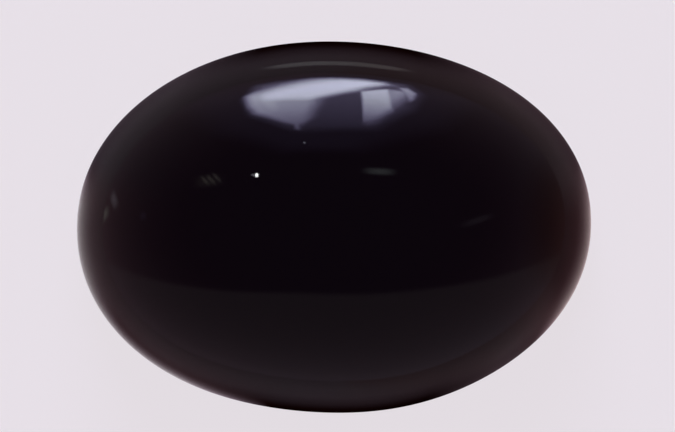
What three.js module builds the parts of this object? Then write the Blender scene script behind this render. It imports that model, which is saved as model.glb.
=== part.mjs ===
// A polished oval opal cabochon: one stone with a domed top, a thin girdle and a flat, bevelled back.
// Millimetres. The flat back rests on Z = 0 and the dome rises along +Z.
// The oval's length runs along X, and the origin is under its middle.

import * as THREE from 'three';

// Driving dimensions
const LENGTH = 11.0;
const WIDTH = 7.94;
const DOME_HEIGHT = 2.75;     // from the girdle's upper edge to the top
const GIRDLE_HEIGHT = 0.3;    // the upright band that a setting would grip
const BEVEL_HEIGHT = 0.3;     // the slope between the girdle and the flat back
const BEVEL_SHARE = 0.06;     // how much of the oval's radius the bevel takes off at the back

// 2 would be a true ellipse, and more makes the oval fuller between its ends.
const OVAL_FULLNESS = 2.067;

// The hand-held cut leaves the outline slightly uneven: shallow lobes, counted around the oval,
// with their height and the direction of the first one.
const OUTLINE_LOBES = [
  { count: 3, height: 0.012, firstAt: THREE.MathUtils.degToRad(14) },
  { count: 4, height: 0.019, firstAt: THREE.MathUtils.degToRad(20) },
  { count: 5, height: 0.008, firstAt: THREE.MathUtils.degToRad(5) },
];

// Facets
const FACETS_AROUND = 96;
const DOME_DIVISIONS = 11;    // the path takes twice as many steps up the dome's curve

const POLISHED_OPAL = new THREE.MeshStandardMaterial({
  color: 0x140c10,
  roughness: 0.06,
  metalness: 0,
});

// The distance from the stone's middle to its outline, in the direction of angle.
function outlineRadius(angle) {
  const along = Math.abs(Math.cos(angle)) / (LENGTH / 2);
  const across = Math.abs(Math.sin(angle)) / (WIDTH / 2);
  let radius = (along ** OVAL_FULLNESS + across ** OVAL_FULLNESS) ** (-1 / OVAL_FULLNESS);
  for (const lobe of OUTLINE_LOBES) {
    radius += lobe.height * Math.cos(lobe.count * (angle - lobe.firstAt));
  }
  return radius;
}

// Half of the stone's upright section, from the middle of the back round to the top,
// with the girdle at a radius of 1.
function sectionPoints() {
  const girdleTop = BEVEL_HEIGHT + GIRDLE_HEIGHT;
  const section = new THREE.Path();
  section.moveTo(0, 0);
  section.lineTo(1 - BEVEL_SHARE, 0);
  section.lineTo(1, BEVEL_HEIGHT);
  section.lineTo(1, girdleTop);
  section.absellipse(0, girdleTop, 1, DOME_HEIGHT, 0, Math.PI / 2, false);
  return section.getPoints(DOME_DIVISIONS);
}

// Turns a round stone of radius 1 into the oval one, by stretching each direction to the outline.
function stretchToOutline(geometry) {
  const position = geometry.attributes.position;
  for (let i = 0; i < position.count; i += 1) {
    const x = position.getX(i);
    const y = position.getY(i);
    const radius = outlineRadius(Math.atan2(y, x));
    position.setXY(i, x * radius, y * radius);
  }
}

function makeCabochon() {
  const geometry = new THREE.LatheGeometry(sectionPoints(), FACETS_AROUND);
  geometry.rotateX(Math.PI / 2);
  stretchToOutline(geometry);
  geometry.computeBoundingBox();
  const middle = geometry.boundingBox.getCenter(new THREE.Vector3());
  geometry.translate(-middle.x, -middle.y, 0);
  geometry.computeVertexNormals();
  const stone = new THREE.Mesh(geometry, POLISHED_OPAL);
  stone.name = 'cabochon';
  return stone;
}

const cabochon = new THREE.Group();
cabochon.add(makeCabochon());

export default cabochon;
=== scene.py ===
"""A dark fire opal, cut as an oval cabochon and polished, from above on a glowing pale ground."""

import math

import bpy
import numpy as np
from mathutils import Matrix, Vector


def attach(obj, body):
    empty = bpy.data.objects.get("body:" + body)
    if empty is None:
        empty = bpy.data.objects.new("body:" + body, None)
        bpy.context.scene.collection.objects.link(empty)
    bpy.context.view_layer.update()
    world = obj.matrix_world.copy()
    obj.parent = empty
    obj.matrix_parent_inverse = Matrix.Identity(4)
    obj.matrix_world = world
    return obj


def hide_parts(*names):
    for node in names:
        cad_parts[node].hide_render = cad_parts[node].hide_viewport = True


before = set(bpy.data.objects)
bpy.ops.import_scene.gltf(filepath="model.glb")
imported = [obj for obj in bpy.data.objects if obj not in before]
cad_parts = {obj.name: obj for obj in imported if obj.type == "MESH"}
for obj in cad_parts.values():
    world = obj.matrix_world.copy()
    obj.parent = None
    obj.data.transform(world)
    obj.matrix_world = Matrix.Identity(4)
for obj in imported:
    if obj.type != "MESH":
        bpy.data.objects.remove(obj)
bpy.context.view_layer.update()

MM = 0.001

# The stone's driving dimensions in millimetres, the same as in the part's source
LENGTH = 11.0
WIDTH = 7.94
DOME_HEIGHT = 2.75
GIRDLE_HEIGHT = 0.3
BEVEL_HEIGHT = 0.3
BEVEL_SHARE = 0.06
OVAL_FULLNESS = 2.067
# Shallow lobes of the hand-held cut: count, height, direction of the first one in degrees
OUTLINE_LOBES = ((3, 0.012, 14), (4, 0.019, 20), (5, 0.008, 5))

# How the polished surface differs from the faceted solid, in millimetres
BACK_EDGE_ROUNDING = 0.05
GIRDLE_EDGE_ROUNDING = 0.08
# Unevenness that the polishing pad leaves in the dome: height, wavelength, direction in degrees
PAD_WAVES = ((0.0012, 3.1, 25), (0.0009, 2.3, 140), (0.0006, 1.7, 80))

# The mesh
STEPS_AROUND = 384
STEPS_ACROSS_BACK = 14
STEPS_UP_BEVEL = 8
STEPS_UP_GIRDLE = 8
STEPS_UP_DOME = 150
STEPS_ROUND_AN_EDGE = 8

# How strongly the opal's body takes light away: after one millimetre, e to the power of minus
# these numbers is left, so that only brown light comes through the thin rim.
ABSORBED_PER_MM = {"red": 2.3, "green": 3.1, "blue": 3.4}
OPAL_IOR = 1.45
CLOUD_COLOURS = ("#CF8C76", "#BC7C76")   # of the browner and of the more purple parts of its body

# The opal's patterns, in millimetres, and the direction of the lapping marks
CLOUD_SIZE = 2.0
HAZE_SIZE = 0.6
LAPPING_MARK_WIDTH = 0.05
LAPPING_MARK_LENGTH = 1.5
LAPPING_TURN = math.radians(20)
LAPPED_HEIGHT = 0.03          # the lapped finish ends this far above the flat back
PAD_TRAIL_SIZE = 0.25
PAD_TRAIL_DEPTH = 0.0002
# The roughness of each finish where it is smoothest and roughest, and the noise's values there
DOME_ROUGHNESS = (0.01, 0.035)
DOME_NOISE_RANGE = (0.35, 0.7)
BACK_ROUGHNESS = (0.12, 0.22)
BACK_NOISE_RANGE = (0.3, 0.7)

# The camera: millimetres, and pixels of the 675 by 432 picture
PICTURE_WIDTH_PX = 675
PICTURE_HEIGHT_PX = 432
PX_PER_MM = 46.72
STONE_MIDDLE_PX = (334.0, 227.1)
STONE_TURN = math.radians(0.71)
LENS = 250
SENSOR_WIDTH = 36
CLIP_NEAR = 1
CLIP_FAR = 10000

# The light
GROUND_COLOUR = "#E8E2E7"
GROUND_GLOW = 0.93            # the strength of the ground's own glow
GROUND_SHEET_COLOUR = "#6E6B6E"
GROUND_DIM_TINT = (1.00, 0.78, 0.97)   # multiplies its light where it sends little to the stone
GROUND_RIGHT_TINT = (1.0, 0.87, 0.83)  # multiplies its light in the right part
GROUND_TINT_SPAN = (-1.0, 5.0)         # where the right tint sets in and where it is full, in mm
BACKDROP_COLOUR = "#E7DFE7"
GROUND_DROP = 0.005           # how far it lies below the stone's back
GROUND_REACH = 350
GROUND_NEAR_REACH = 16        # the sheet's mesh is fine as far as this
GROUND_FADE = (25, 70)        # between these it turns into the even backdrop
GROUND_RINGS = (64, 23)       # near and far
GROUND_SPOKES = 180
# How much of its light the ground sends to the stone: the size of the oval through a point, where
# 1 is the stone's own outline, and the share. All of the light comes from under the stone's middle
# and from its two ends, hardly any from close behind and in front, and some from farther out.
LEFT_GLOW = ((0.0, 1.1), (1.0, 1.08), (1.12, 1.05), (1.2, 0.97), (1.3, 0.88), (1.4, 0.78),
             (1.55, 0.66), (1.75, 0.57), (2.0, 0.53), (3.0, 0.47), (6.0, 0.42))
RIGHT_GLOW = ((0.0, 1.1), (1.0, 1.0), (1.12, 0.90), (1.2, 0.80), (1.3, 0.62), (1.4, 0.48),
              (1.55, 0.36), (1.75, 0.30), (2.0, 0.28), (3.0, 0.28), (6.0, 0.28))
CORNER_GLOW = ((0.0, 1.0), (0.55, 1.0), (0.83, 0.15), (1.0, 0.10), (1.12, 0.16), (1.2, 0.22),
               (1.3, 0.31), (1.4, 0.38), (1.55, 0.45), (1.75, 0.48), (3.0, 0.48), (6.0, 0.44))
LOW_LEFT_GLOW = ((0.0, 1.0), (0.55, 1.0), (1.0, 1.0), (1.06, 0.95), (1.12, 0.80), (1.2, 0.55),
                 (1.3, 0.32), (1.4, 0.24), (1.55, 0.32), (1.75, 0.40), (3.0, 0.44), (6.0, 0.42))
SIDE_GLOW = ((0.0, 1.0), (0.55, 1.0), (0.83, 0.12), (1.0, 0.0), (1.12, 0.0), (1.2, 0.01),
             (1.3, 0.05), (1.4, 0.11), (1.55, 0.18), (1.75, 0.27), (2.0, 0.34), (3.0, 0.40),
             (6.0, 0.38))
# The directions in degrees between which each of them holds
GLOW_DIRECTIONS = (
    (LEFT_GLOW, (171, 196)), (RIGHT_GLOW, (332, 363)), (CORNER_GLOW, (20, 52)),
    (CORNER_GLOW, (124, 160)), (LOW_LEFT_GLOW, (216, 234)), (CORNER_GLOW, (308, 320)),
    (SIDE_GLOW, (72, 105)), (SIDE_GLOW, (255, 290)),
)
# A lit strip on the ground behind the stone: its middle, its half size and its soft edge in mm
STRIP_MIDDLE = (0.3, 11.8)
STRIP_HALF_SIZE = (4.2, 3.0)
STRIP_SOFTNESS = 1.7
STRIP_GLOW = 1.0

WALL_DISTANCE = 300           # the glowing panel and the lamps stand this far from the stone
PANEL_COLOUR = "#E2E5FF"
PANEL_DIM_COLOUR = "#CBBFFF"  # where the panel glows faintly
PANEL_PALE_GLOW = 9.0         # and the brightness at which it is as pale as it gets

# The room's own light, which the stone mirrors: overhead, and down at the horizon
ROOM_DARK_TOP = (0.09, 0.052, 0.10, 1)
ROOM_DARK_FOOT = (0.33, 0.24, 0.31, 1)
ROOM_PALE_TOP = (0.195, 0.145, 0.19, 1)
ROOM_PALE_FOOT = (0.37, 0.29, 0.37, 1)
ROOM_TOP_HEIGHT = 0.8                  # the upward part of a direction from which it is overhead
ROOM_HEIGHT_POWER = 1.5                # more keeps the light closer to the horizon
ROOM_PALE_SIDE = (0, -1, -0.308)       # the direction in which the paler part lies
ROOM_PALE_EDGE = (0.20, 0.27)          # the soft edge of that part, along this direction
ROOM_RIGHT_TINT = (0.68, 0.56, 0.48, 1)
ROOM_RIGHT_EDGE = (0.80, 1.0)          # where the tint sets in and where it is full, along +X


def linear(hex_colour):
    """The linear RGBA colour of an sRGB hex value."""
    parts = [int(hex_colour[i:i + 2], 16) / 255 for i in (1, 3, 5)]
    return [p / 12.92 if p <= 0.04045 else ((p + 0.055) / 1.055) ** 2.4 for p in parts] + [1.0]


def add_node(tree, kind, settings=None, values=None):
    """Adds a node to a tree: settings are its properties, values go to its inputs or are linked."""
    node = tree.nodes.new(kind)
    for name, value in (settings or {}).items():
        setattr(node, name, value)
    for key, value in (values or {}).items():
        if isinstance(value, bpy.types.NodeSocket):
            tree.links.new(value, node.inputs[key])
        else:
            node.inputs[key].default_value = value
    return node


def new_material(name):
    """An empty node material and its tree."""
    material = bpy.data.materials.new(name)
    material.use_nodes = True
    material.node_tree.nodes.clear()
    return material, material.node_tree


def smooth_step(share):
    """0 below 0, 1 above 1, and a smooth S between them."""
    t = np.clip(share, 0, 1)
    return t * t * (3 - 2 * t)


def new_mesh_object(name, vertices, faces, material):
    """A smooth-shaded object at the origin from vertices in millimetres."""
    mesh = bpy.data.meshes.new(name)
    mesh.from_pydata((np.asarray(vertices) * MM).tolist(), [], faces)
    mesh.polygons.foreach_set("use_smooth", np.ones(len(mesh.polygons), dtype=bool))
    mesh.materials.append(material)
    mesh.update()
    item = bpy.data.objects.new(name, mesh)
    bpy.context.scene.collection.objects.link(item)
    return item


# The stone

def outline_radius(angle):
    """The distance from the stone's middle to its outline.

    It is a slightly full oval, with shallow lobes added as cosines.
    """
    along = np.abs(np.cos(angle)) / (LENGTH / 2)
    across = np.abs(np.sin(angle)) / (WIDTH / 2)
    radius = (along ** OVAL_FULLNESS + across ** OVAL_FULLNESS) ** (-1 / OVAL_FULLNESS)
    for count, height, first_at in OUTLINE_LOBES:
        radius = radius + height * np.cos(count * (angle - math.radians(first_at)))
    return radius


def straight(start, end, steps):
    """Evenly spaced points from start to end, both included."""
    return np.linspace(start, end, steps + 1)


def rounded_corner(before, corner, after, rounding):
    """A parabola that leaves one line and joins the next, both at the rounding's distance."""
    before, corner, after = (np.asarray(p, dtype=float) for p in (before, corner, after))
    start = corner + (before - corner) / np.linalg.norm(before - corner) * rounding
    end = corner + (after - corner) / np.linalg.norm(after - corner) * rounding
    t = np.linspace(0, 1, STEPS_ROUND_AN_EDGE + 1)[:, None]
    return (1 - t) ** 2 * start + 2 * t * (1 - t) * corner + t ** 2 * end


def section():
    """Half of the upright section, from the middle of the back to the top, in millimetres.

    It is drawn for a round stone of the outline's mean radius: a flat back, a rounded edge, the
    bevel, a second rounded edge, the upright girdle and a quarter of an ellipse for the dome.
    """
    radius = (LENGTH + WIDTH) / 4
    girdle_top = BEVEL_HEIGHT + GIRDLE_HEIGHT
    back_middle = (0, 0)
    back_edge = (radius * (1 - BEVEL_SHARE), 0)
    girdle_foot = (radius, BEVEL_HEIGHT)
    girdle_head = (radius, girdle_top)
    back_corner = rounded_corner(back_middle, back_edge, girdle_foot, BACK_EDGE_ROUNDING)
    girdle_corner = rounded_corner(back_edge, girdle_foot, girdle_head, GIRDLE_EDGE_ROUNDING)
    turn = np.linspace(0, math.pi / 2, STEPS_UP_DOME + 1)
    dome = np.stack([radius * np.cos(turn), girdle_top + DOME_HEIGHT * np.sin(turn)], 1)
    parts = [
        straight(back_middle, back_corner[0], STEPS_ACROSS_BACK)[:-1],
        back_corner,
        straight(back_corner[-1], girdle_corner[0], STEPS_UP_BEVEL)[1:-1],
        girdle_corner,
        straight(girdle_corner[-1], girdle_head, STEPS_UP_GIRDLE)[1:-1],
        dome,
    ]
    return np.concatenate(parts) / (radius, 1)


def pad_waves(x, y, height):
    """Sine waves across the dome in a few directions, which fade out towards the girdle."""
    rise = np.zeros_like(x)
    for amplitude, wavelength, direction in PAD_WAVES:
        along = x * math.cos(math.radians(direction)) + y * math.sin(math.radians(direction))
        rise += amplitude * np.sin(2 * math.pi * along / wavelength)
    return rise * smooth_step((height - BEVEL_HEIGHT - GIRDLE_HEIGHT) / DOME_HEIGHT)


def cabochon_mesh():
    """Vertices and faces of the stone.

    The section is carried round the outline, whose radius it multiplies. Both of its ends lie on
    the axis, so each is one vertex with a fan of triangles.
    """
    points = section()
    share, height = points[1:-1].T
    angle = np.arange(STEPS_AROUND) / STEPS_AROUND * 2 * math.pi
    reach = outline_radius(angle)
    rim_x, rim_y = reach * np.cos(angle), reach * np.sin(angle)
    middle = np.array([(rim_x.max() + rim_x.min()) / 2, (rim_y.max() + rim_y.min()) / 2])
    x = share[:, None] * rim_x
    y = share[:, None] * rim_y
    z = height[:, None] + np.zeros_like(x)
    z += pad_waves(x, y, z)
    rings = np.stack([x, y, z], -1).reshape(-1, 3)
    top_height = points[-1:, 1]
    top_height = top_height + pad_waves(np.zeros(1), np.zeros(1), top_height)
    ends = np.array([[0, 0, 0], [0, 0, top_height[0]]])
    vertices = np.concatenate([rings, ends])
    vertices[:, :2] -= middle

    rows = len(share)
    index = np.arange(rows * STEPS_AROUND).reshape(rows, STEPS_AROUND)
    turned = np.roll(index, -1, axis=1)
    quads = np.stack([index[:-1], turned[:-1], turned[1:], index[1:]], -1).reshape(-1, 4)
    back_index = np.full(STEPS_AROUND, rows * STEPS_AROUND)
    top_index = back_index + 1
    back_fan = np.stack([back_index, turned[0], index[0]], -1)
    top_fan = np.stack([index[-1], turned[-1], top_index], -1)
    return vertices, quads.tolist() + back_fan.tolist() + top_fan.tolist()


def polished_opal():
    """Common opal, ground on wheels and polished on a felt pad.

    The body is so dark that it is black where it is thick, with brown light only at the rim. The
    pad leaves a glassy gloss with a trace of haze, and the hidden back keeps fine lapping marks.
    """
    material, tree = new_material("dark_fire_opal_pad_polished")
    place = add_node(tree, "ShaderNodeTexCoord").outputs["Object"]

    # Cloudy growth of the opal: slightly browner and slightly more purple parts
    clouds = add_node(tree, "ShaderNodeTexNoise", values={
        "Vector": place, "Scale": 1 / (CLOUD_SIZE * MM), "Detail": 3.0,
        "Roughness": 0.55}).outputs["Fac"]
    body = add_node(tree, "ShaderNodeMix", {"data_type": "RGBA"}, {
        "Factor": clouds, "A": linear(CLOUD_COLOURS[0]),
        "B": linear(CLOUD_COLOURS[1])}).outputs["Result"]

    # Patches of polishing haze on a glassy surface
    haze = add_node(tree, "ShaderNodeTexNoise", values={
        "Vector": place, "Scale": 1 / (HAZE_SIZE * MM), "Detail": 2.0}).outputs["Fac"]
    dome_roughness = add_node(tree, "ShaderNodeMapRange", values={
        "Value": haze, "From Min": DOME_NOISE_RANGE[0], "From Max": DOME_NOISE_RANGE[1],
        "To Min": DOME_ROUGHNESS[0], "To Max": DOME_ROUGHNESS[1]}).outputs["Result"]

    # The lapped back: fine marks, drawn long by a stretched noise
    across_marks = 1 / (LAPPING_MARK_WIDTH * MM)
    along_marks = 1 / (LAPPING_MARK_LENGTH * MM)
    stretched = add_node(tree, "ShaderNodeMapping", values={
        "Vector": place, "Rotation": (0, 0, LAPPING_TURN),
        "Scale": (across_marks, along_marks, along_marks)}).outputs["Vector"]
    marks = add_node(tree, "ShaderNodeTexNoise", values={
        "Vector": stretched, "Scale": 1.0, "Detail": 2.0}).outputs["Fac"]
    back_roughness = add_node(tree, "ShaderNodeMapRange", values={
        "Value": marks, "From Min": BACK_NOISE_RANGE[0], "From Max": BACK_NOISE_RANGE[1],
        "To Min": BACK_ROUGHNESS[0], "To Max": BACK_ROUGHNESS[1]}).outputs["Result"]
    height = add_node(tree, "ShaderNodeSeparateXYZ", values={"Vector": place}).outputs["Z"]
    is_back = add_node(tree, "ShaderNodeMapRange", {"interpolation_type": "SMOOTHSTEP"}, {
        "Value": height, "From Min": 0.0, "From Max": LAPPED_HEIGHT * MM,
        "To Min": 1.0, "To Max": 0.0}).outputs["Result"]
    roughness = add_node(tree, "ShaderNodeMix", {"data_type": "FLOAT"}, {
        "Factor": is_back, "A": dome_roughness, "B": back_roughness}).outputs["Result"]

    # The pad's finest trails, too shallow to see but for a slight unevenness in the reflections
    trails = add_node(tree, "ShaderNodeTexNoise", values={
        "Vector": place, "Scale": 1 / (PAD_TRAIL_SIZE * MM), "Detail": 2.0}).outputs["Fac"]
    bump = add_node(tree, "ShaderNodeBump", values={
        "Height": trails, "Strength": 1.0, "Distance": PAD_TRAIL_DEPTH * MM}).outputs["Normal"]

    opal = add_node(tree, "ShaderNodeBsdfPrincipled", values={
        "Base Color": body, "Metallic": 0.0, "Roughness": roughness, "IOR": OPAL_IOR,
        "Transmission Weight": 1.0, "Normal": bump})
    density = max(ABSORBED_PER_MM.values())
    kept = [1 - ABSORBED_PER_MM[band] / density for band in ("red", "green", "blue")]
    absorption = add_node(tree, "ShaderNodeVolumeAbsorption", values={
        "Color": kept + [1.0], "Density": density / MM})
    add_node(tree, "ShaderNodeOutputMaterial", values={
        "Surface": opal.outputs["BSDF"], "Volume": absorption.outputs["Volume"]})
    return material


def make_cabochon():
    """The stone as one piece."""
    vertices, faces = cabochon_mesh()
    return new_mesh_object("polished_cabochon", vertices, faces, polished_opal())


# The stage

def make_camera():
    """Looks straight down from a long lens's distance, turned a little as the picture is."""
    data = bpy.data.cameras.new("camera")
    data.lens = LENS
    data.sensor_width = SENSOR_WIDTH
    data.clip_start = CLIP_NEAR * MM
    data.clip_end = CLIP_FAR * MM
    camera = bpy.data.objects.new("camera", data)
    bpy.context.scene.collection.objects.link(camera)
    bpy.context.scene.camera = camera
    distance = PICTURE_WIDTH_PX / PX_PER_MM * LENS / SENSOR_WIDTH
    offset = Vector((
        (PICTURE_WIDTH_PX / 2 - STONE_MIDDLE_PX[0]) / PX_PER_MM,
        (STONE_MIDDLE_PX[1] - PICTURE_HEIGHT_PX / 2) / PX_PER_MM,
        distance + BEVEL_HEIGHT + GIRDLE_HEIGHT,
    ))
    turn = Matrix.Rotation(-STONE_TURN, 4, "Z")
    camera.matrix_world = turn @ Matrix.Translation(offset * MM)


def add_glow(item, glow):
    """Gives each vertex of a mesh its light, as the colour attribute that the materials read."""
    attribute = item.data.attributes.new("glow", "FLOAT_COLOR", "POINT")
    attribute.data.foreach_set("color", np.insert(glow, 3, 1, axis=1).ravel())


def ground_glow(x, y):
    """The share of the ground's red, green and blue light that reaches the stone from each point.

    Each curve's share for the size of the oval through the point counts in full between its own
    directions, and is blended evenly into the next curve's between them. The lit strip is laid
    over them, and the brighter one counts. The share is tinted where it is low and at the right.
    """
    across, along = x * 2 / LENGTH, y * 2 / WIDTH
    away, direction = np.hypot(across, along), np.degrees(np.arctan2(along, across))
    knots = np.ravel([span for _, span in GLOW_DIRECTIONS])
    share = np.zeros_like(away)
    for number, (curve, _) in enumerate(GLOW_DIRECTIONS):
        holds = np.repeat(np.arange(len(GLOW_DIRECTIONS)) == number, 2)
        weight = np.interp(direction, knots, holds.astype(float), period=360)
        share += weight * np.interp(away, *zip(*curve))
    depth_x = STRIP_HALF_SIZE[0] - np.abs(x - STRIP_MIDDLE[0])
    depth_y = STRIP_HALF_SIZE[1] - np.abs(y - STRIP_MIDDLE[1])
    strip = smooth_step(depth_x / STRIP_SOFTNESS) * smooth_step(depth_y / STRIP_SOFTNESS)
    share = np.maximum(share, strip * STRIP_GLOW)[:, None]
    dimness = np.clip(1 - share, 0, 1)
    start, full = GROUND_TINT_SPAN
    at_right = smooth_step((x - start) / (full - start))[:, None]
    return share * np.power(GROUND_DIM_TINT, dimness) * np.power(GROUND_RIGHT_TINT, at_right)


def ground_material():
    """An opal acrylic light pad: a satin sheet that glows pale pink from inside.

    The picture shows all of it at full brightness, and the stone gets the share of each point.
    Far from the stone the sheet only glows, in the backdrop's colour, so that no horizon shows.
    """
    material, tree = new_material("opal_acrylic_light_pad")
    share = add_node(tree, "ShaderNodeAttribute", {"attribute_name": "glow"}).outputs["Color"]
    seen = add_node(tree, "ShaderNodeLightPath").outputs["Is Camera Ray"]
    level = add_node(tree, "ShaderNodeMix", {"data_type": "RGBA"}, {
        "Factor": seen, "A": share, "B": (1, 1, 1, 1)}).outputs["Result"]
    place = add_node(tree, "ShaderNodeTexCoord").outputs["Object"]
    away = add_node(tree, "ShaderNodeVectorMath", {"operation": "LENGTH"}, {
        0: place}).outputs["Value"]
    far = add_node(tree, "ShaderNodeMapRange", {"interpolation_type": "SMOOTHSTEP"}, {
        "Value": away, "From Min": GROUND_FADE[0] * MM,
        "From Max": GROUND_FADE[1] * MM}).outputs["Result"]
    near_glow = [GROUND_GLOW * part for part in linear(GROUND_COLOUR)[:3]] + [1.0]
    own_colour = add_node(tree, "ShaderNodeMix", {"data_type": "RGBA"}, {
        "Factor": far, "A": near_glow, "B": linear(BACKDROP_COLOUR)}).outputs["Result"]
    own_sheet = add_node(tree, "ShaderNodeMix", {"data_type": "RGBA"}, {
        "Factor": far, "A": linear(GROUND_SHEET_COLOUR), "B": (0, 0, 0, 1)}).outputs["Result"]
    glow = add_node(tree, "ShaderNodeVectorMath", {"operation": "MULTIPLY"}, {
        0: level, 1: own_colour}).outputs["Vector"]
    sheet_colour = add_node(tree, "ShaderNodeVectorMath", {"operation": "MULTIPLY"}, {
        0: level, 1: own_sheet}).outputs["Vector"]
    emission = add_node(tree, "ShaderNodeEmission", values={"Color": glow, "Strength": 1.0})
    sheet = add_node(tree, "ShaderNodeBsdfDiffuse", values={"Color": sheet_colour})
    both = add_node(tree, "ShaderNodeAddShader", values={
        0: emission.outputs[0], 1: sheet.outputs[0]})
    add_node(tree, "ShaderNodeOutputMaterial", values={"Surface": both.outputs[0]})
    return material


def make_ground():
    """A flat round sheet just under the stone's back, on a polar grid that is fine near it."""
    near = np.linspace(0, GROUND_NEAR_REACH, GROUND_RINGS[0] + 1)[1:]
    far = np.geomspace(GROUND_NEAR_REACH, GROUND_REACH, GROUND_RINGS[1] + 1)[1:]
    spokes = np.arange(GROUND_SPOKES) / GROUND_SPOKES * 2 * math.pi
    radius, turn = np.meshgrid(np.concatenate([near, far]), spokes, indexing="ij")
    x, y = radius * np.cos(turn), radius * np.sin(turn)
    index = np.arange(x.size).reshape(x.shape)
    turned = np.roll(index, -1, axis=1)
    quads = np.stack([index[:-1], index[1:], turned[1:], turned[:-1]], -1).reshape(-1, 4)
    middle_index = np.full(x.shape[1], x.size)
    fan = np.stack([middle_index, index[0], turned[0]], -1)
    x, y = np.append(x, 0), np.append(y, 0)
    vertices = np.stack([x, y, np.full(x.shape, -GROUND_DROP)], -1)
    ground = new_mesh_object("ground", vertices, quads.tolist() + fan.tolist(), ground_material())
    add_glow(ground, ground_glow(x, y))


# The glowing panel behind the stone is an upright wall with soft-edged patches. Each has a name,
# its corners counter-clockwise and its brightness at its foot and at its head. A corner is how far
# across and up it is, as shares of the wall's distance, and how far inside the edge that starts
# there the patch reaches its full brightness. Where patches overlap, the brightest shows.
PANEL_PATCHES = (
    ("left slab", (
        (-0.395, 0.46, 0.070), (-0.37, 0.23, 0.055), (-0.30, 0.185, 0.05), (-0.12, 0.105, 0.15),
        (0.06, 0.06, 0.25), (0.12, 0.30, 0.12), (0.09, 0.495, 0.08), (-0.04, 0.75, 0.10),
        (-0.085, 1.00, 0.08), (-0.17, 1.00, 0.08), (-0.265, 0.82, 0.08),
        (-0.385, 0.665, 0.08)), 10.3, 0.8),
    ("slab's cheek", (
        (-0.37, 0.34, 0.10), (-0.18, 0.28, 0.06), (-0.17, 0.58, 0.06), (-0.25, 0.66, 0.07),
        (-0.35, 0.62, 0.10)), 9.8, 4.5),
    ("slab's streak", (
        (-0.165, 0.50, 0.03), (-0.120, 0.50, 0.025), (-0.150, 0.98, 0.05),
        (-0.205, 0.98, 0.03)), 6.8, 1.2),
    ("low band", (
        (-0.365, 0.295, 0.11), (-0.25, 0.14, 0.18), (-0.08, 0.065, 0.12), (0.09, 0.055, 0.10),
        (0.20, 0.075, 0.09), (0.265, 0.15, 0.06), (0.245, 0.200, 0.09), (0.13, 0.315, 0.09),
        (0.02, 0.485, 0.12), (-0.09, 0.565, 0.20), (-0.365, 0.50, 0.14)), 15.0, 12.0),
    ("right horn", (
        (0.112, 0.275, 0.045), (0.225, 0.175, 0.03), (0.250, 0.35, 0.03), (0.292, 0.58, 0.08),
        (0.252, 0.76, 0.08), (0.17, 0.88, 0.03), (0.155, 0.88, 0.016)), 12.8, 0.0),
    ("right horn's side", (
        (0.12, 0.28, 0.05), (0.22, 0.195, 0.05), (0.30, 0.165, 0.05), (0.32, 0.40, 0.09),
        (0.26, 0.80, 0.06), (0.175, 0.91, 0.02)), 6.0, 0.3),
    ("right sliver", (
        (0.235, 0.155, 0.03), (0.28, 0.12, 0.03), (0.335, 0.20, 0.03), (0.34, 0.31, 0.02),
        (0.322, 0.38, 0.02), (0.302, 0.38, 0.03)), 7.2, 3.0),
)
# Dim glows that are added over all of them
PANEL_VEILS = (
    ("veil", (
        (-0.30, 0.06, 0.10), (0.30, 0.04, 0.12), (0.39, 0.20, 0.15), (0.40, 0.50, 0.15),
        (0.28, 1.00, 0.20), (-0.16, 1.10, 0.10), (-0.28, 0.95, 0.10), (-0.42, 0.62, 0.08),
        (-0.40, 0.28, 0.10)), 1.9, 0.1),
    ("glare", (
        (-0.80, -0.10, 0.30), (0.70, -0.10, 0.30), (0.70, 0.80, 0.40), (0.30, 1.60, 0.40),
        (-0.45, 1.60, 0.40), (-0.80, 0.80, 0.40)), 0.13, 0.13),
)
# The panel's reach across and up, as shares of the wall's distance, and its grid's points
PANEL_SPAN = ((-0.80, 0.70), (0.0, 1.6))
PANEL_POINTS = (240, 256)

# Small lamps in the room: degrees from straight up, compass angle from +X, length and width in
# degrees, the length's turn from the level in degrees, soft edge as a share, brightness, colour
LAMPS = (
    ("star", 29.6, 127.9, 2.7, 1.15, -58, 0.8, 34.0, "#FFFFFF"),
    ("star's wing", 30.0, 128.5, 2.4, 1.7, 33, 0.9, 3.0, "#F4F0FF"),
    ("spark", 39.1, 99.4, 2.0, 0.9, -81, 0.9, 2.5, "#E8EAFF"),
    ("dash", 27.0, 65.8, 9.4, 4.5, -20, 0.9, 0.50, "#F1FEFF"),
    ("first slat", 40.2, 146.4, 7.8, 1.8, -66, 0.9, 0.26, "#FFF8E8"),
    ("second slat", 38.6, 144.4, 8.1, 1.8, -68, 0.9, 0.28, "#FFF8E8"),
    ("third slat", 37.6, 141.7, 7.9, 1.7, -68, 0.9, 0.30, "#FFF6F0"),
    ("slats' haze", 39.1, 146.0, 12.0, 8.6, 60, 1.0, 0.13, "#FFF8E8"),
    ("upper left spot", 82.1, 167.3, 14.0, 6.4, -56, 0.9, 0.52, "#F4EEFF"),
    ("lower left spot", 89.0, 173.7, 7.6, 12.0, -24, 0.9, 0.48, "#F4FFEE"),
    ("faint left spot", 59.0, 173.4, 5.0, 5.0, 0, 1.0, 0.11, "#C8B8FF"),
    ("right streak", 38.1, 1.8, 16.0, 4.0, 71, 0.9, 0.11, "#F6ECFF"),
)
LAMP_STEPS = 16
LAMP_SQUARENESS = 3           # 2 would make them ellipses, and more makes them squarer


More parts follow.
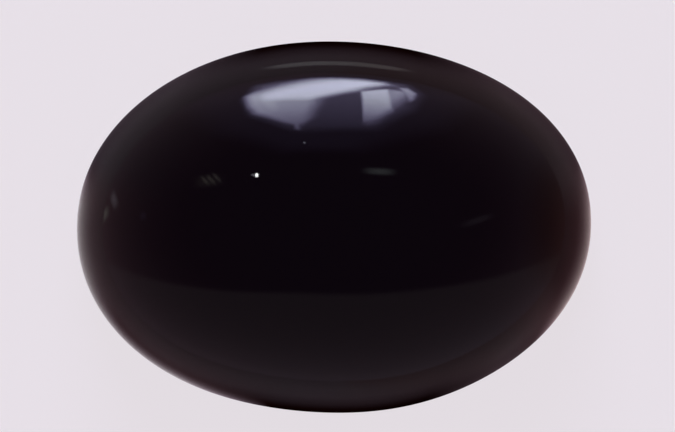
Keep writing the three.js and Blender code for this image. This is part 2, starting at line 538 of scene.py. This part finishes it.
def patch_glow(x, z, patch):
    """Brightness of one patch on the wall.

    A point's depth inside each edge, as a share of that edge's softness, is worked out, and the
    smallest of these gives the soft edge. The brightness blends from the patch's foot to its head.
    """
    _, corners, foot_glow, head_glow = patch
    corners = np.asarray(corners)
    inside = np.full(x.shape, np.inf)
    for start, end in zip(corners, np.roll(corners, -1, axis=0)):
        along = (end - start)[:2] / np.linalg.norm((end - start)[:2])
        depth = (z - start[1]) * along[0] - (x - start[0]) * along[1]
        inside = np.minimum(inside, depth / start[2])
    foot, head = corners[:, 1].min(), corners[:, 1].max()
    level = np.clip((z - foot) / (head - foot), 0, 1)
    return smooth_step(inside) * (foot_glow + (head_glow - foot_glow) * level)


def emitter_material(name, colour, dim_colour, pale_glow):
    """A light that adds its mesh's glow to what is behind it and blocks nothing.

    Its colour turns from the dim colour into the other one as the glow rises to pale_glow.
    """
    material, tree = new_material(name)
    strength = add_node(tree, "ShaderNodeAttribute", {"attribute_name": "glow"}).outputs["Fac"]
    paleness = add_node(tree, "ShaderNodeMapRange", values={
        "Value": strength, "From Max": pale_glow}).outputs["Result"]
    tint = add_node(tree, "ShaderNodeMix", {"data_type": "RGBA"}, {
        "Factor": paleness, "A": linear(dim_colour), "B": linear(colour)}).outputs["Result"]
    glow = add_node(tree, "ShaderNodeEmission", values={"Color": tint, "Strength": strength})
    clear = add_node(tree, "ShaderNodeBsdfTransparent")
    both = add_node(tree, "ShaderNodeAddShader", values={0: glow.outputs[0], 1: clear.outputs[0]})
    add_node(tree, "ShaderNodeOutputMaterial", values={"Surface": both.outputs[0]})
    return material


def make_emitter(name, vertices, glow, material):
    """A glowing sheet on a grid, without its dark faces.

    It lights the stone and shows in it, and stays out of the picture.
    """
    index = np.arange(glow.size).reshape(glow.shape)
    corners = [index[:-1, :-1], index[:-1, 1:], index[1:, 1:], index[1:, :-1]]
    faces = np.stack(corners, -1).reshape(-1, 4)
    lit = (glow.ravel()[faces] > 0).any(1)
    emitter = new_mesh_object(name, vertices.reshape(-1, 3), faces[lit].tolist(), material)
    add_glow(emitter, np.repeat(glow.reshape(-1, 1), 3, axis=1))
    emitter.visible_camera = False


def make_panel():
    """A grid on the wall whose glow is that of the brightest patch there, plus the veils."""
    across, up = (np.linspace(*span, count) for span, count in zip(PANEL_SPAN, PANEL_POINTS))
    x, z = np.meshgrid(across, up)
    glow = np.max([patch_glow(x, z, patch) for patch in PANEL_PATCHES], axis=0)
    for veil in PANEL_VEILS:
        glow += patch_glow(x, z, veil)
    vertices = np.stack([x, np.ones_like(x), z], -1) * WALL_DISTANCE
    material = emitter_material("panel", PANEL_COLOUR, PANEL_DIM_COLOUR, PANEL_PALE_GLOW)
    make_emitter("panel", vertices, glow, material)


def make_lamps():
    """Small soft-edged sheets on a sphere round the stone, each facing it."""
    step = np.linspace(-1, 1, LAMP_STEPS + 1)
    a, b = np.meshgrid(step, step)
    size = (np.abs(a) ** LAMP_SQUARENESS + np.abs(b) ** LAMP_SQUARENESS) ** (1 / LAMP_SQUARENESS)
    for name, down, compass, length, width, turn, softness, brightness, colour in LAMPS:
        along = a * WALL_DISTANCE * math.tan(math.radians(length / 2))
        across = b * WALL_DISTANCE * math.tan(math.radians(width / 2))
        cosine, sine = math.cos(math.radians(turn)), math.sin(math.radians(turn))
        flat = np.stack([
            along * sine + across * cosine,
            along * cosine - across * sine,
            np.full(a.shape, WALL_DISTANCE),
        ], -1)
        tilt = Matrix.Rotation(math.radians(down), 3, "Y")
        facing = Matrix.Rotation(math.radians(compass), 3, "Z") @ tilt
        glow = smooth_step((1 - size) / softness) * brightness
        material = emitter_material(f"{name}_lamp", colour, colour, brightness)
        make_emitter(f"{name}_lamp", flat @ np.array(facing).T, glow, material)


def make_room():
    """The room as the stone mirrors it: dark overhead, lighter low down, paler in front."""
    world = bpy.data.worlds.new("room")
    bpy.context.scene.world = world
    world.use_nodes = True
    tree = world.node_tree
    tree.nodes.clear()
    direction = add_node(tree, "ShaderNodeTexCoord").outputs["Generated"]
    up = add_node(tree, "ShaderNodeSeparateXYZ", values={"Vector": direction}).outputs["Z"]
    height = add_node(tree, "ShaderNodeMapRange", values={
        "Value": up, "From Min": ROOM_TOP_HEIGHT, "From Max": 0.0}).outputs["Result"]
    low_down = add_node(tree, "ShaderNodeMath", {"operation": "POWER"}, {
        0: height, 1: ROOM_HEIGHT_POWER}).outputs["Value"]
    dark_half = add_node(tree, "ShaderNodeMix", {"data_type": "RGBA"}, {
        "Factor": low_down, "A": ROOM_DARK_TOP, "B": ROOM_DARK_FOOT}).outputs["Result"]
    pale_half = add_node(tree, "ShaderNodeMix", {"data_type": "RGBA"}, {
        "Factor": low_down, "A": ROOM_PALE_TOP, "B": ROOM_PALE_FOOT}).outputs["Result"]
    towards_front = add_node(tree, "ShaderNodeVectorMath", {"operation": "DOT_PRODUCT"}, {
        0: direction, 1: ROOM_PALE_SIDE}).outputs["Value"]
    in_front = add_node(tree, "ShaderNodeMapRange", {"interpolation_type": "SMOOTHSTEP"}, {
        "Value": towards_front, "From Min": ROOM_PALE_EDGE[0],
        "From Max": ROOM_PALE_EDGE[1]}).outputs["Result"]
    mirrored = add_node(tree, "ShaderNodeMix", {"data_type": "RGBA"}, {
        "Factor": in_front, "A": dark_half, "B": pale_half}).outputs["Result"]
    to_the_right = add_node(tree, "ShaderNodeSeparateXYZ", values={
        "Vector": direction}).outputs["X"]
    at_right = add_node(tree, "ShaderNodeMapRange", {"interpolation_type": "SMOOTHSTEP"}, {
        "Value": to_the_right, "From Min": ROOM_RIGHT_EDGE[0],
        "From Max": ROOM_RIGHT_EDGE[1]}).outputs["Result"]
    mirrored = add_node(tree, "ShaderNodeMix", {"data_type": "RGBA", "blend_type": "MULTIPLY"}, {
        "Factor": at_right, "A": mirrored, "B": ROOM_RIGHT_TINT}).outputs["Result"]
    seen = add_node(tree, "ShaderNodeLightPath").outputs["Is Camera Ray"]
    colour = add_node(tree, "ShaderNodeMix", {"data_type": "RGBA"}, {
        "Factor": seen, "A": mirrored, "B": linear(BACKDROP_COLOUR)}).outputs["Result"]
    background = add_node(tree, "ShaderNodeBackground", values={"Color": colour})
    add_node(tree, "ShaderNodeOutputWorld", values={"Surface": background.outputs["Background"]})


make_camera()
cabochon = make_cabochon()
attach(cabochon, "root")
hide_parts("cabochon")
make_ground()
make_room()
make_panel()
make_lamps()
bpy.context.scene.view_settings.view_transform = "Standard"
